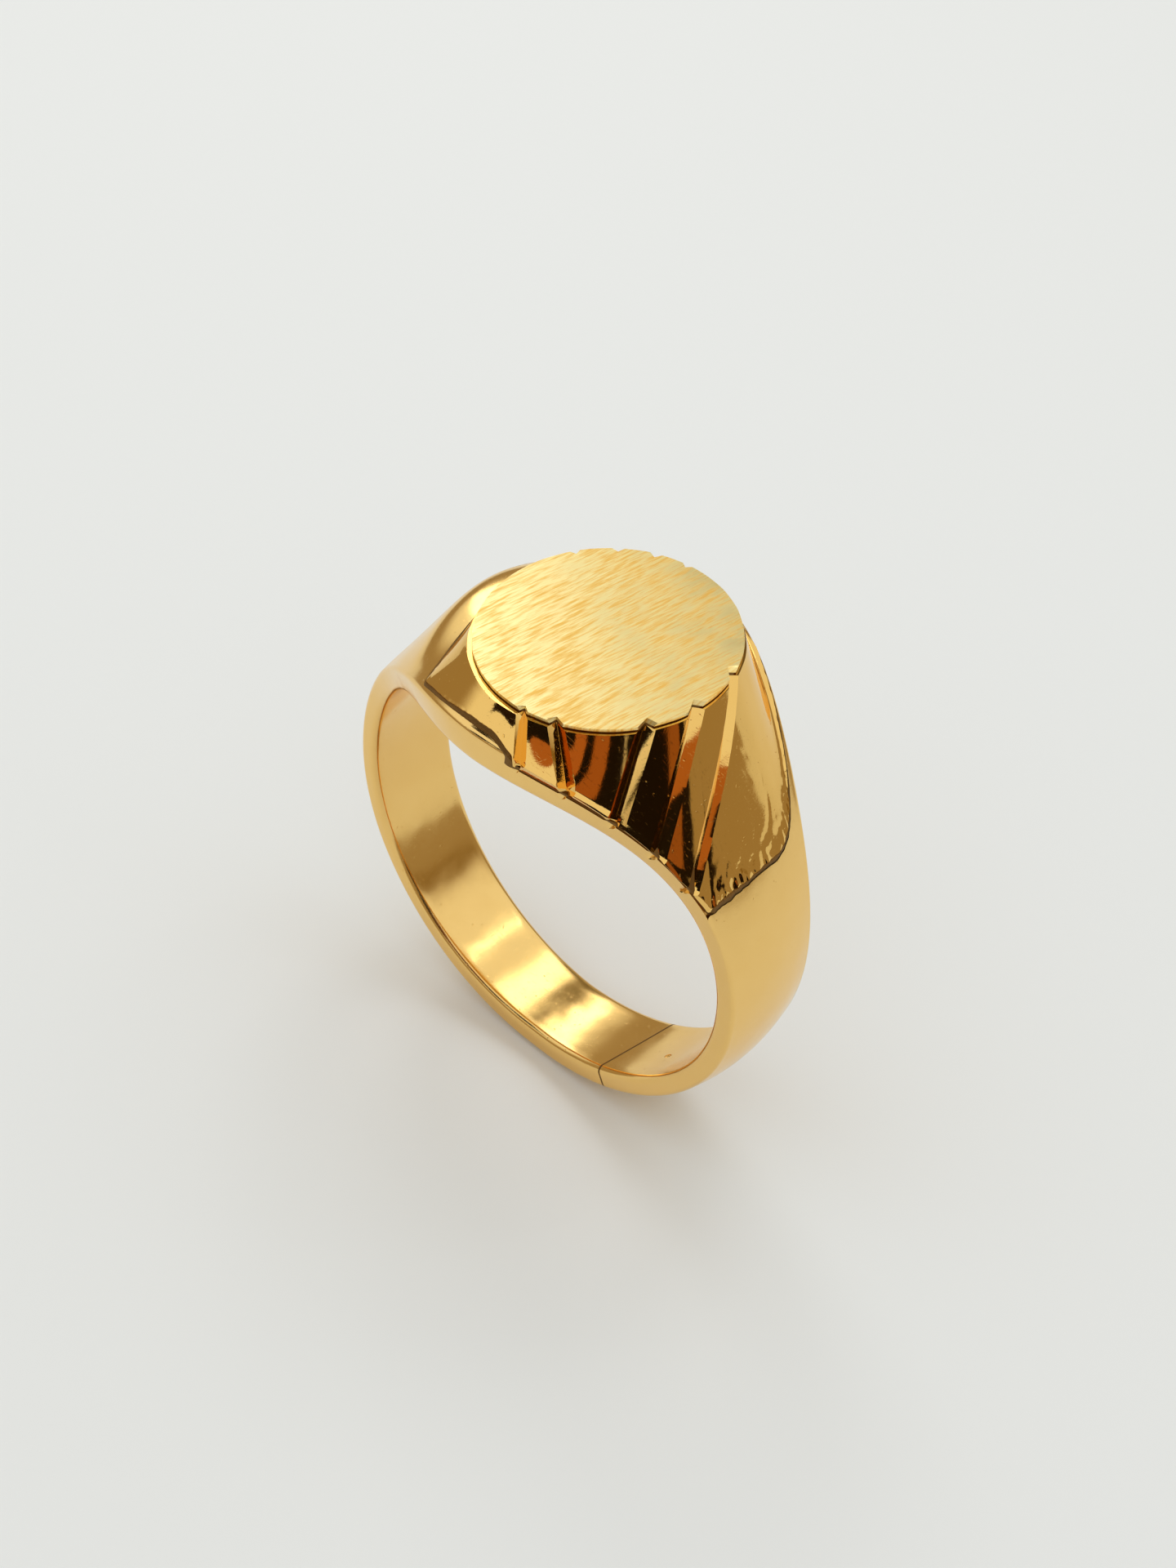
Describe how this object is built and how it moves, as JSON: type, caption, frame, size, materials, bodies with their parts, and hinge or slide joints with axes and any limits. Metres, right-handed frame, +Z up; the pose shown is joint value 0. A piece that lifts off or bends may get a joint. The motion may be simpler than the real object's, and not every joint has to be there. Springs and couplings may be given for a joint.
{
  "type": "signet ring",
  "caption": "Wide-headed gold signet ring with an oval brushed table, a notched and grooved head wall and a band that tapers to the palm.",
  "frame": {"origin": "centre of the finger hole, midway between the front and back edges of the band", "axes": "+Z up through the table, +Y along the finger towards the back of the ring, +X towards the long shoulder"},
  "size_m": [0.0212, 0.0128, 0.0229],
  "materials": {
    "band_gold": "polished yellow gold with fine wear",
    "head_gold": "polished yellow gold with file and tooling marks",
    "table_gold": "fine brushed, matte yellow gold",
    "solder": "dark, slightly pitted solder line"
  },
  "bodies": {
    "root": {"shank": "band_gold", "shank_solder": "solder", "head_block": "head_gold", "head_solder": "solder", "table_plate": "table_gold", "table_solder": "solder"}
  },
  "joints": []
}
